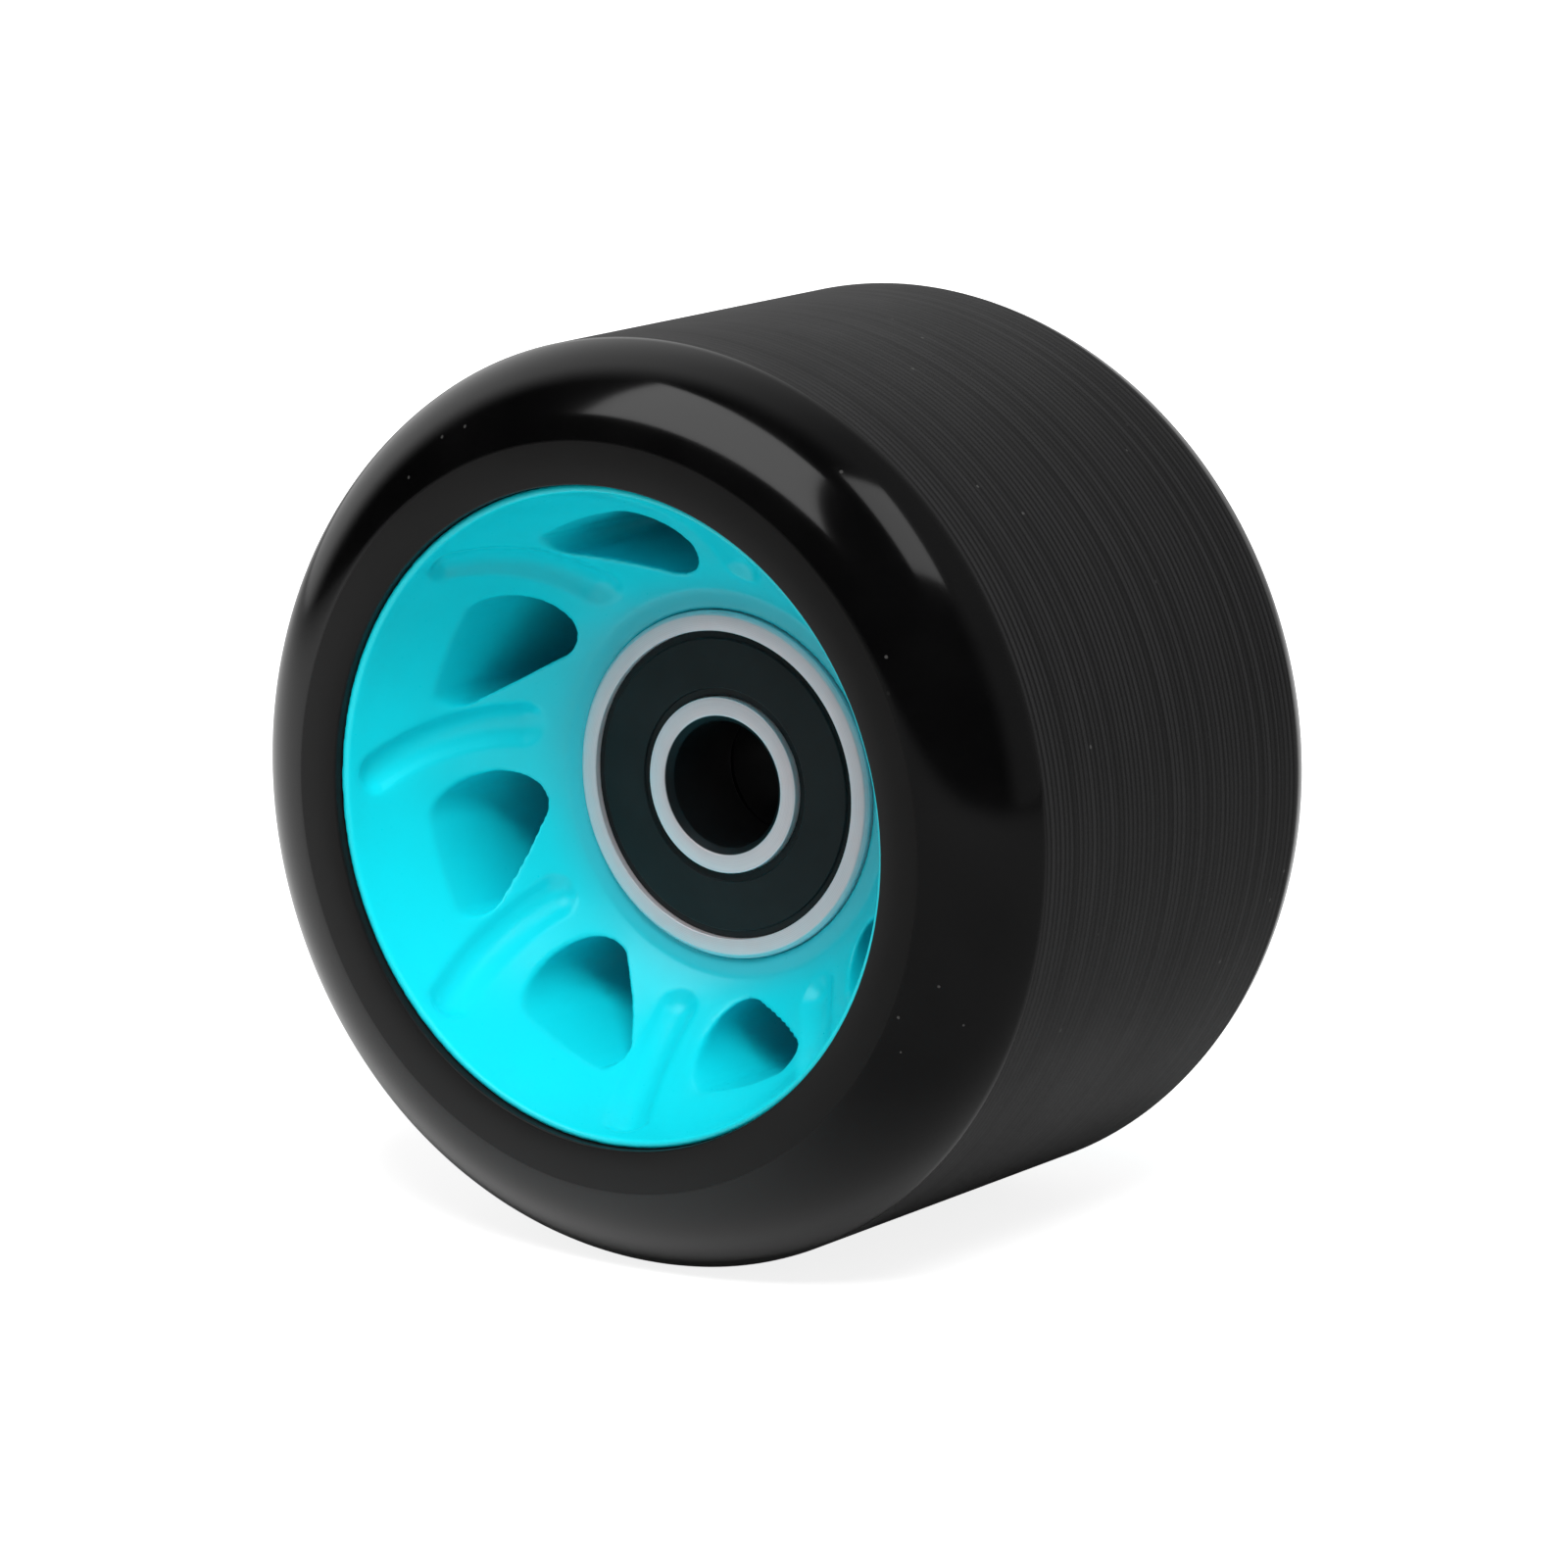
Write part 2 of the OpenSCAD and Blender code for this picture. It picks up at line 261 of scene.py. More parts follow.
class SurfaceEffects:
    """The node groups that several finishes share, each built once."""

    LINE_SPREAD = 0.7
    LINE_FLOOR = 0.35
    SOFT_STEP = (0.3, 0.7)
    DUST_PATCHES = 90.0
    DUST_STEP = (0.5, 0.62)
    FINE_MIDDLE = 0.5

    def __init__(self) -> None:
        """Builds the groups."""
        self.wheel_place = self._wheel_place()
        self.turning = self._turning()
        self.mottle = self._mottle()
        self.dust = self._dust()

    @staticmethod
    def _start(name: str, inputs: Sequence[str],
               outputs: Sequence[str]) -> tuple[NodeBench, dict, dict]:
        """Starts a group.

        Args:
            name: the group's name.
            inputs: names of its value inputs.
            outputs: names of its value outputs.

        Returns:
            Its bench, the sockets that its inputs give, and the sockets that its outputs take.
        """
        tree = bpy.data.node_groups.new(name, "ShaderNodeTree")
        for label in inputs:
            tree.interface.new_socket(label, in_out="INPUT", socket_type="NodeSocketFloat")
        for label in outputs:
            tree.interface.new_socket(label, in_out="OUTPUT", socket_type="NodeSocketFloat")
        bench = NodeBench(tree)
        entry = bench.add("NodeGroupInput")
        leave = bench.add("NodeGroupOutput")
        taken = {label: entry.outputs[label] for label in inputs}
        given = {label: leave.inputs[label] for label in outputs}
        return bench, taken, given

    def _wheel_place(self) -> bpy.types.NodeTree:
        """Builds the group that gives distances from the axle and along it, in millimetres."""
        bench, _, given = self._start("wheel place", [], ["Radius", "Along"])
        place = bench.split(bench.place())
        across = bench.math("POWER", place["X"], 2.0)
        upward = bench.math("POWER", place["Z"], 2.0)
        radius = bench.math("SQRT", bench.math("ADD", across, upward))
        bench.feed(given["Radius"], bench.math("DIVIDE", radius, MM))
        bench.feed(given["Along"], bench.math("DIVIDE", place["Y"], MM))
        return bench.tree

    def _turning(self) -> bpy.types.NodeTree:
        """Builds the group for the uneven lines that a lathe or a grinder leaves."""
        bench, taken, given = self._start("turning lines", ["Across", "Pitch"], ["Lines"])
        steps = bench.math("DIVIDE", taken["Across"], taken["Pitch"])
        node = bench.add("ShaderNodeTexNoise", noise_dimensions="1D")
        bench.feed(node.inputs["W"], steps)
        bench.feed(node.inputs["Scale"], self.LINE_SPREAD)
        bench.feed(node.inputs["Detail"], 3.0)
        uneven = bench.math("ADD", self.LINE_FLOOR, bench.ramp(node.outputs["Fac"], *self.SOFT_STEP))
        wave = bench.math("SINE", bench.math("MULTIPLY", steps, FULL_TURN))
        regular = bench.ramp(wave, -1.0, 1.0)
        bench.feed(given["Lines"], bench.math("MULTIPLY", regular, uneven, clamp=True))
        return bench.tree

    def _mottle(self) -> bpy.types.NodeTree:
        """Builds the group for the faint clouds and fine grain of a moulded surface."""
        bench, taken, given = self._start("moulded mottle", ["Clouds", "Grain"], ["Cloud", "Fine"])
        place = bench.place()
        bench.feed(given["Cloud"], bench.ramp(bench.noise(place, taken["Clouds"], 3.0), *self.SOFT_STEP))
        bench.feed(given["Fine"], bench.noise(place, taken["Grain"], 4.0))
        return bench.tree

    def _dust(self) -> bpy.types.NodeTree:
        """Builds the group for a few bright specks of dust, in patches."""
        bench, taken, given = self._start("dust specks", ["Specks", "Size"], ["Mask"])
        place = bench.place()
        cells = bench.add("ShaderNodeTexVoronoi", feature="F1")
        bench.feed(cells.inputs["Vector"], place)
        bench.feed(cells.inputs["Scale"], taken["Specks"])
        near = bench.math("LESS_THAN", cells.outputs["Distance"], taken["Size"])
        patches = bench.ramp(bench.noise(place, self.DUST_PATCHES), *self.DUST_STEP)
        bench.feed(given["Mask"], bench.math("MULTIPLY", near, patches))
        return bench.tree


def shaded(colour: Colour, factor: float) -> Colour:
    """Gives a colour made darker or lighter by a factor."""
    return tuple(factor * part for part in colour)


def blank_material(name: str) -> tuple[bpy.types.Material, NodeBench, bpy.types.Node]:
    """Starts a material.

    Args:
        name: its name.

    Returns:
        The material, its bench and its shader.
    """
    material = bpy.data.materials.new(name)
    material.use_nodes = True
    shader = next(node for node in material.node_tree.nodes if node.type == "BSDF_PRINCIPLED")
    return material, NodeBench(material.node_tree), shader


@dataclass(frozen=True)
class Finish:
    """A finish: constants that hold all over the surface, and the shared effects that vary over it."""

    name: str
    colour: Colour

    def start(self, **constants: object) -> tuple[bpy.types.Material, NodeBench, bpy.types.Node]:
        """Starts the finish's material.

        Args:
            constants: the shader's inputs that are the same all over, with _ for each blank.

        Returns:
            The material, its bench and its shader.
        """
        material, bench, shader = blank_material(self.name)
        material.diffuse_color = (*self.colour, 1.0)
        for key, value in constants.items():
            bench.feed(shader.inputs[key.replace("_", " ")], value)
        return material, bench, shader

    @staticmethod
    def soft_edge(size: float, span: Span) -> Span:
        """Gives the ends of a soft edge that spans a size, in millimetres."""
        return ((size + span[0]) / MM, (size + span[1]) / MM)

    @staticmethod
    def grained(bench: NodeBench, mottle: bpy.types.Node, value: float, swing: float) -> bpy.types.NodeSocket:
        """Varies a value with the fine grain, by swing from the grain's lowest place to its highest."""
        uneven = bench.math("SUBTRACT", mottle.outputs["Fine"], SurfaceEffects.FINE_MIDDLE)
        return bench.math("ADD", bench.math("MULTIPLY", uneven, swing), value)

    def material(self, effects: SurfaceEffects) -> bpy.types.Material:
        """Builds the material with the shared node groups."""
        raise NotImplementedError


@dataclass(frozen=True)
class UrethaneFinish(Finish):
    """Cast black urethane: a turned tread with painted shade in its grooves, glossy lips and a satin flat
    side.
    """

    tread_colour: Colour
    side_colour: Colour
    tread_half_width: float
    tread_radius: float
    side_radius: float
    tread_edge: Span = (-0.05 * MM, 0.05 * MM)
    tread_skin: Span = (-1.0 * MM, -0.8 * MM)
    side_edge: Span = (-0.1 * MM, 0.15 * MM)
    lip_roughness: float = 0.1
    side_roughness: float = 0.34
    tread_roughness: float = 0.45
    lip_coat: float = 0.45
    line_pitch: float = 0.5
    # The tread's grooves are painted darker than its crests: painted shade.
    painted_groove_shade: float = 0.25
    line_depth: float = 0.006 * MM
    lip_grain: float = 0.1
    cloud_share: float = 0.12
    cloud_tint: float = 1.6
    cloud_roughness: float = 0.04
    dust_share: float = 0.16
    dust_colour: Colour = (0.3, 0.3, 0.29)

    def material(self, effects: SurfaceEffects) -> bpy.types.Material:
        """Builds the material.

        Args:
            effects: the shared node groups.

        Returns:
            The material.
        """
        material, bench, shader = self.start(
            IOR=1.5, Specular_IOR_Level=0.3, Coat_Roughness=self.lip_roughness)
        place = bench.group(effects.wheel_place)
        radius, along = place.outputs["Radius"], place.outputs["Along"]
        sideways = bench.math("ABSOLUTE", along)
        on_tread = bench.ramp(sideways, *self.soft_edge(self.tread_half_width, self.tread_edge), 1.0, 0.0)
        outside = bench.ramp(radius, *self.soft_edge(self.tread_radius, self.tread_skin))
        tread = bench.math("MULTIPLY", on_tread, outside)
        flat = bench.ramp(radius, *self.soft_edge(self.side_radius, self.side_edge), 1.0, 0.0)
        lines = bench.group(effects.turning, Across=along, Pitch=self.line_pitch).outputs["Lines"]
        mottle = bench.group(effects.mottle, Clouds=120.0, Grain=9000.0)
        dust = bench.group(effects.dust, Specks=420.0, Size=0.055).outputs["Mask"]
        # Painted shade: the tread's grooves are painted at a quarter of the crests' colour.
        tread_with_painted_shade = bench.blend(lines, shaded(self.tread_colour, self.painted_groove_shade), self.tread_colour)
        colour = bench.blend(flat, self.colour, self.side_colour)
        colour = bench.blend(tread, colour, tread_with_painted_shade)
        cloudy = bench.math("MULTIPLY", mottle.outputs["Cloud"], self.cloud_share)
        colour = bench.blend(cloudy, colour, shaded(self.side_colour, self.cloud_tint))
        colour = bench.blend(bench.math("MULTIPLY", dust, self.dust_share), colour, self.dust_colour)
        bench.feed(shader.inputs["Base Color"], colour)
        rough = self.lip_roughness
        for mask, change in ((mottle.outputs["Cloud"], self.cloud_roughness),
                             (flat, self.side_roughness - self.lip_roughness),
                             (tread, self.tread_roughness - self.lip_roughness)):
            rough = bench.math("ADD", rough, bench.math("MULTIPLY", mask, change))
        bench.feed(shader.inputs["Roughness"], rough)
        satin = bench.math("MAXIMUM", flat, tread)
        bench.feed(shader.inputs["Coat Weight"], bench.ramp(satin, 0.0, 1.0, self.lip_coat, 0.0))
        height = bench.math("MULTIPLY", tread, lines)
        grain = bench.math("MULTIPLY", mottle.outputs["Fine"], bench.math("ADD", self.lip_grain, tread))
        height = bench.math("ADD", height, grain)
        bench.feed(shader.inputs["Normal"], bench.bump(height, self.line_depth))
        return material


@dataclass(frozen=True)
class HubPlasticFinish(Finish):
    """Gloss moulded plastic with faint flow clouds, with painted shade and painted sheen round the bearing
    seat, where the colour turns greyer and darker.
    """

    shade: Colour
    # The seat colour below is painted shade and painted sheen: greyer and darker close round the bearing
    # seat.
    painted_seat_shade: Colour
    painted_shade_from: float
    painted_shade_span: Span = (0.0, 3.2 * MM)
    roughness: float = 0.3
    cloud_share: float = 0.6
    grain_roughness: float = 0.12
    grain_depth: float = 0.004 * MM

    def material(self, effects: SurfaceEffects) -> bpy.types.Material:
        """Builds the material.

        Args:
            effects: the shared node groups.

        Returns:
            The material.
        """
        material, bench, shader = self.start(
            Specular_IOR_Level=0.45, IOR=1.49, Subsurface_Weight=0.08, Subsurface_Scale=0.5 * MM,
            Subsurface_Radius=(0.1, 0.9, 1.0))
        radius = bench.group(effects.wheel_place).outputs["Radius"]
        mottle = bench.group(effects.mottle, Clouds=70.0, Grain=4000.0)
        cloudy = bench.math("MULTIPLY", mottle.outputs["Cloud"], self.cloud_share)
        colour = bench.blend(cloudy, self.colour, self.shade)
        # Painted shade and painted sheen: the colour turns greyer and darker within 3.2 mm outside the
        # bearing seat.
        painted_shade_mask = bench.ramp(radius, *self.soft_edge(self.painted_shade_from, self.painted_shade_span), 1.0, 0.0)
        colour = bench.blend(painted_shade_mask, colour, self.painted_seat_shade)
        bench.feed(shader.inputs["Base Color"], colour)
        rough = self.grained(bench, mottle, self.roughness, self.grain_roughness)
        bench.feed(shader.inputs["Roughness"], rough)
        bench.feed(shader.inputs["Normal"], bench.bump(mottle.outputs["Fine"], self.grain_depth))
        return material


@dataclass(frozen=True)
class GroundSteelFinish(Finish):
    """Ground bearing steel: fine rings on its faces, and painted shade that darkens the bore."""

    bore_rim: float
    # The bore's near-black colour is painted shade.
    painted_bore_shade_colour: Colour = (0.02, 0.02, 0.022)
    painted_bore_shade_edge: Span = (-0.08 * MM, 0.0)
    metallic: float = 0.65
    roughness: float = 0.46
    cloud_roughness: float = 0.1
    grain_share: float = 0.5
    ring_pitch: float = 0.11
    ring_share: float = 0.35
    ring_shade: float = 0.8
    ring_depth: float = 0.0015 * MM

    def material(self, effects: SurfaceEffects) -> bpy.types.Material:
        """Builds the material.

        Args:
            effects: the shared node groups.

        Returns:
            The material.
        """
        material, bench, shader = self.start(Metallic=self.metallic)
        radius = bench.group(effects.wheel_place).outputs["Radius"]
        rings = bench.group(effects.turning, Across=radius, Pitch=self.ring_pitch).outputs["Lines"]
        mottle = bench.group(effects.mottle, Clouds=260.0, Grain=14000.0)
        ringed = bench.math("MULTIPLY", rings, self.ring_share)
        tone = bench.blend(ringed, self.colour, shaded(self.colour, self.ring_shade))
        # Painted shade: the bore and most of its chamfer are painted near-black.
        painted_bore_shade_mask = bench.ramp(radius, *self.soft_edge(self.bore_rim, self.painted_bore_shade_edge), 1.0, 0.0)
        bench.feed(shader.inputs["Base Color"], bench.blend(painted_bore_shade_mask, tone, self.painted_bore_shade_colour))
        uneven = bench.math("MULTIPLY", mottle.outputs["Cloud"], self.cloud_roughness)
        bench.feed(shader.inputs["Roughness"], bench.math("ADD", self.roughness, uneven))
        height = bench.math("ADD", rings, bench.math("MULTIPLY", mottle.outputs["Fine"], self.grain_share))
        bench.feed(shader.inputs["Normal"], bench.bump(height, self.ring_depth))
        return material


@dataclass(frozen=True)
class GrainFinish(Finish):
    """A plain moulded or polished surface with fine grain and faint clouds."""

    shade: Colour
    roughness: float
    metallic: float = 0.0
    grain: float = 8000.0
    grain_depth: float = 0.003 * MM
    grain_roughness: float = 0.2
    gloss: float = 0.5

    def material(self, effects: SurfaceEffects) -> bpy.types.Material:
        """Builds the material.

        Args:
            effects: the shared node groups.

        Returns:
            The material.
        """
        material, bench, shader = self.start(Metallic=self.metallic, Specular_IOR_Level=self.gloss)
        mottle = bench.group(effects.mottle, Clouds=180.0, Grain=self.grain)
        colour = bench.blend(mottle.outputs["Cloud"], self.colour, self.shade)
        bench.feed(shader.inputs["Base Color"], colour)
        rough = self.grained(bench, mottle, self.roughness, self.grain_roughness * self.roughness)
        bench.feed(shader.inputs["Roughness"], rough)
        bench.feed(shader.inputs["Normal"], bench.bump(mottle.outputs["Fine"], self.grain_depth))
        return material


def settle(bm: bmesh.types.BMesh, name: str) -> bpy.types.Object:
    """Turns a finished bmesh into an object at the origin.

    Args:
        bm: the mesh, which is used up.
        name: the object's name.

    Returns:
        The object.
    """
    mesh = bpy.data.meshes.new(name)
    bm.to_mesh(mesh)
    bm.free()
    piece = bpy.data.objects.new(name, mesh)
    bpy.context.scene.collection.objects.link(piece)
    return piece


class SectionPen:
    """Draws a ring's closed section as a wire in the XY plane: X is the radius and Y runs along the axle."""

    def __init__(self, bm: bmesh.types.BMesh, radius: float, along: float) -> None:
        """Starts a section.

        Args:
            bm: the mesh that the wire is drawn in.
            radius: distance of the first corner from the axle.
            along: its place along the axle.
        """
        self.bm = bm
        self.first = bm.verts.new((radius, along, 0))
        self.tip = self.first

    def line(self, radius: float, along: float) -> None:
        """Draws a straight stretch.

        Args:
            radius: distance of its end from the axle.
            along: place of its end along the axle.
        """
        corner = self.bm.verts.new((radius, along, 0))
        self.bm.edges.new((self.tip, corner))
        self.tip = corner

    def arc(self, centre: tuple[float, float], angle: float, steps: int) -> None:
        """Draws an arc from the pen's place.

        Args:
            centre: radius and place along the axle of the arc's middle point.
            angle: the turn, positive from the radial direction towards +Y.
            steps: how many edges it has.
        """
        turned = bmesh.ops.spin(self.bm, geom=[self.tip], cent=(*centre, 0), axis=(0, 0, 1), angle=angle,
                                steps=steps)
        self.tip = next(item for item in turned["geom_last"] if isinstance(item, bmesh.types.BMVert))

    def close(self) -> None:
        """Joins the last corner to the first one."""
        self.bm.edges.new((self.tip, self.first))


@dataclass
class TurnedPiece:
    """A ring that is turned about the axle, with its sharp edges broken."""

    name: str
    steps: int
    edge_break: float
    sharp_from: float = math.radians(40)
    edge_segments: int = 3

    def turn(self, bm: bmesh.types.BMesh) -> bpy.types.Object:
        """Spins the drawn section into a ring.

        Args:
            bm: a mesh that holds the section's wire, which is used up.

        Returns:
            The ring's object, at the origin.
        """
        section = list(bm.verts) + list(bm.edges)
        bmesh.ops.spin(bm, geom=section, cent=(0, 0, 0), axis=AXLE, angle=FULL_TURN, steps=self.steps,
                       use_merge=True)
        bmesh.ops.remove_doubles(bm, verts=bm.verts, dist=WELD)
        bmesh.ops.recalc_face_normals(bm, faces=bm.faces)
        sharp = [edge for edge in bm.edges if edge.calc_face_angle(0.0) > self.sharp_from]
        bmesh.ops.bevel(bm, geom=sharp, offset=self.edge_break, offset_type="OFFSET", affect="EDGES",
                        segments=self.edge_segments, profile=0.5, material=-1, clamp_overlap=True)
        for face in bm.faces:
            face.smooth = True
        return settle(bm, self.name)


def keep_flats(piece: bpy.types.Object) -> None:
    """Keeps the wide faces of a smooth-shaded piece flat up to its broken edges.

    Args:
        piece: the object.
    """
    modifier = piece.modifiers.new("flat faces", "WEIGHTED_NORMAL")
    modifier.mode = "FACE_AREA"
    modifier.weight = 100


def dress(piece: bpy.types.Object, material: bpy.types.Material, body: Body, node: str) -> None:
    """Gives a new piece its finish and its body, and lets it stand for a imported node.

    Args:
        piece: the object.
        material: its finish.
        body: the body it rides on.
        node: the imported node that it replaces.
    """
    piece.data.materials.clear()
    piece.data.materials.append(material)
    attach(piece, body.value)
    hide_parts(node)
    LOG.info("%s rides on %s with %d faces", piece.name, body.value, len(piece.data.polygons))


@dataclass
class Tyre:
    """The cast tyre with its turned tread, round lips and the dovetail grooves that hold it on the hub."""

    lip_width: float = 5.3 * MM
    lip_height: float = 5.7 * MM
    lip_radius: float = 7 * MM
    bore_radius: float = 20.6 * MM
    groove_pitch: float = 0.5 * MM
    groove_depth: float = 0.05 * MM
    lip_steps: int = 20
    key_height: float = 1.4 * MM
    key_width: float = 2 * MM
    key_flare: float = 0.5 * MM
    key_spacing: float = 18 * MM
    edge_break: float = 0.12 * MM
    steps: int = 288

    def __post_init__(self) -> None:
        """Reads the outer sizes from the frame and works out the arc of the lips."""
        low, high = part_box("tyre")
        self.radius = high.x
        self.half_width = (high.y - low.y) / 2
        self.tread_width = 2 * (self.half_width - self.lip_width)
        self.side_radius = self.radius - self.lip_height
        chord = math.hypot(self.lip_width, self.lip_height)
        depth = math.sqrt(self.lip_radius ** 2 - chord ** 2 / 4) / chord
        self.lip_angle = 2 * math.asin(chord / (2 * self.lip_radius))
        self.lip_centre = self.radius - self.lip_height / 2 - depth * self.lip_width
        self.lip_along = self.half_width - self.lip_width / 2 - depth * self.lip_height

    def _cut_tread(self, bm: bmesh.types.BMesh) -> None:
        """Cuts the fine grooves of the tread into the finished section.

        Args:
            bm: the mesh that holds the section.
        """
        tread = next(edge for edge in bm.edges if edge.calc_length() > 0.9 * self.tread_width
                     and min(vert.co.x for vert in edge.verts) > self.side_radius)
        lines = round(self.tread_width / self.groove_pitch)
        cut = bmesh.ops.subdivide_edges(bm, edges=[tread], cuts=2 * lines - 1)
        points = [item for item in cut["geom_inner"] if isinstance(item, bmesh.types.BMVert)]
        points.sort(key=lambda vert: vert.co.y)
        bmesh.ops.translate(bm, verts=points[::2], vec=(-self.groove_depth, 0, 0))

    def _draw_bore(self, pen: SectionPen) -> None:
        """Draws the bore with its two dovetail grooves, from back to front.

        Args:
            pen: the pen, at the back side's inner edge.
        """
        for side in (1, -1):
            middle = side * self.key_spacing / 2
            half = self.key_width / 2
            bottom = self.bore_radius + self.key_height
            pen.line(self.bore_radius, middle + half)
            pen.line(bottom, middle + half + self.key_flare)
            pen.line(bottom, middle - half - self.key_flare)
            pen.line(self.bore_radius, middle - half)

    def build(self, material: bpy.types.Material) -> None:
        """Models and dresses the tyre.

        Args:
            material: its finish.
        """
        bm = bmesh.new()
        pen = SectionPen(bm, self.bore_radius, -self.half_width)
        pen.line((self.bore_radius + self.side_radius) / 2, -self.half_width)
        pen.line(self.side_radius, -self.half_width)
        pen.arc((self.lip_centre, -self.lip_along), self.lip_angle, self.lip_steps)
        pen.line(self.radius, self.tread_width / 2)
        pen.arc((self.lip_centre, self.lip_along), self.lip_angle, self.lip_steps)
        pen.line((self.bore_radius + self.side_radius) / 2, self.half_width)
        pen.line(self.bore_radius, self.half_width)
        self._draw_bore(pen)
        pen.close()
        self._cut_tread(bm)
        piece = TurnedPiece("dressed_tyre", self.steps, self.edge_break).turn(bm)
        dress(piece, material, Body.WHEEL, "tyre")


@dataclass
class Hub:
    """The moulded hub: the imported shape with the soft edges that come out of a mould."""

    grain: float = 0.14 * MM
    smoothing: int = 22
    smoothing_share: float = 0.5
    kept_triangles: int = 180_000

    def build(self, material: bpy.types.Material) -> None:
        """Models and dresses the hub.

        Args:
            material: its finish.
        """
        bm = bmesh.new()
        bm.from_mesh(frame["nodes"]["hub"].data)
        bmesh.ops.remove_doubles(bm, verts=bm.verts, dist=WELD)
        blank = settle(bm, "hub blank")
        remesh = blank.modifiers.new("even grain", "REMESH")
        remesh.mode = "VOXEL"
        remesh.voxel_size = self.grain
        soften = blank.modifiers.new("soft edges", "SMOOTH")
        soften.factor = self.smoothing_share
        soften.iterations = self.smoothing
        moulded = self._modified(blank)
        thin = blank.modifiers.new("thin", "DECIMATE")
        thin.ratio = min(1.0, self.kept_triangles / (2 * len(moulded.polygons)))
        piece = bpy.data.objects.new("dressed_hub", self._modified(blank))
        bpy.data.objects.remove(blank)
        bpy.context.scene.collection.objects.link(piece)
        piece.data.shade_smooth()
        dress(piece, material, Body.WHEEL, "hub")

    @staticmethod
    def _modified(blank: bpy.types.Object) -> bpy.types.Mesh:
        """Gives a new mesh with the object's modifiers applied."""
        graph = bpy.context.evaluated_depsgraph_get()
        return bpy.data.meshes.new_from_object(blank.evaluated_get(graph))


@dataclass
class Bearing:
    """One sealed ball bearing: the races and the seal that show."""

    side: Side
    pitch_radius: float = 7.5 * MM
    ball_radius: float = 3.969 / 2 * MM
    groove_radius: float = 0.52 * 3.969 * MM
    race_gap: float = 0.02 * MM
    shoulder: float = 0.55 * MM
    outer_chamfer: float = 0.25 * MM
    bore_chamfer: float = 0.45 * MM
    bore_radius: float = 4 * MM
    seal_depth: float = 0.2 * MM
    seal_thickness: float = 0.7 * MM
    seal_step: float = 0.5 * MM
    seal_gap: float = 0.06 * MM
    seal_groove: float = 0.5 * MM
    seal_groove_depth: float = 0.2 * MM
    inner_shoulder_gap: float = 0.2 * MM
    edge_break: float = 0.06 * MM
    seal_edge_break: float = 0.08 * MM
    steps: int = 160
    groove_steps: int = 14

    def __post_init__(self) -> None:
        """Reads the outer sizes and the middle from the frame."""
        low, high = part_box(f"{self.side.value}_outer_race")
        self.radius = high.x
        self.half_width = (high.y - low.y) / 2
        self.middle = (high.y + low.y) / 2
        self.seal_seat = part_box(f"{self.side.value}_outer_seal")[1].x
        self.seal_foot = self.half_width - self.seal_depth - self.seal_thickness
        self.seal_land = self.pitch_radius - self.ball_radius + self.shoulder - self.seal_step

    def _name(self, part: str) -> str:
        """Gives the name of this bearing's dressed part."""
        return f"dressed_{self.side.value}_{part}"

    def build_outer_race(self, material: bpy.types.Material) -> None:
        """Models and dresses the outer race.

        Args:
            material: its finish.
        """
        land = self.pitch_radius + self.ball_radius - self.shoulder
        groove_at = self.pitch_radius + self.ball_radius + self.race_gap - self.groove_radius
        half_angle = math.acos((land - groove_at) / self.groove_radius)
        reach = self.groove_radius * math.sin(half_angle)
        bm = bmesh.new()
        pen = SectionPen(bm, land, self.middle - reach)
        pen.arc((groove_at, self.middle), 2 * half_angle, self.groove_steps)
        pen.line(land, self.middle + self.seal_foot)
        pen.line(self.seal_seat, self.middle + self.seal_foot)
        pen.line(self.seal_seat, self.middle + self.half_width)
        pen.line(self.radius - self.outer_chamfer, self.middle + self.half_width)
        pen.line(self.radius, self.middle + self.half_width - self.outer_chamfer)
        pen.line(self.radius, self.middle - self.half_width + self.outer_chamfer)
        pen.line(self.radius - self.outer_chamfer, self.middle - self.half_width)
        pen.line(self.seal_seat, self.middle - self.half_width)
        pen.line(self.seal_seat, self.middle - self.seal_foot)
        pen.line(land, self.middle - self.seal_foot)
        pen.close()
        piece = TurnedPiece(self._name("outer_race"), self.steps, self.edge_break).turn(bm)
        keep_flats(piece)
        dress(piece, material, Body.WHEEL, f"{self.side.value}_outer_race")

    def build_inner_race(self, material: bpy.types.Material) -> None:
        """Models and dresses the inner race.

        Args:
            material: its finish.
        """
        land = self.seal_land + self.seal_step
        groove_at = self.pitch_radius - self.ball_radius - self.race_gap + self.groove_radius
        half_angle = math.acos((groove_at - land) / self.groove_radius)
        reach = self.groove_radius * math.sin(half_angle)
        shoulder = self.seal_foot - self.inner_shoulder_gap
        bm = bmesh.new()
        pen = SectionPen(bm, land, self.middle + reach)
        pen.arc((groove_at, self.middle), 2 * half_angle, self.groove_steps)
        pen.line(land, self.middle - shoulder)
        pen.line(self.seal_land, self.middle - shoulder)
        pen.line(self.seal_land, self.middle - self.half_width)
        pen.line(self.bore_radius + self.bore_chamfer, self.middle - self.half_width)
        pen.line(self.bore_radius, self.middle - self.half_width + self.bore_chamfer)
        pen.line(self.bore_radius, self.middle + self.half_width - self.bore_chamfer)
        pen.line(self.bore_radius + self.bore_chamfer, self.middle + self.half_width)
        pen.line(self.seal_land, self.middle + self.half_width)
        pen.line(self.seal_land, self.middle + shoulder)
        pen.line(land, self.middle + shoulder)
        pen.close()
        piece = TurnedPiece(self._name("inner_race"), self.steps, self.edge_break).turn(bm)
        keep_flats(piece)
        dress(piece, material, Body.AXLE_SET, f"{self.side.value}_inner_race")

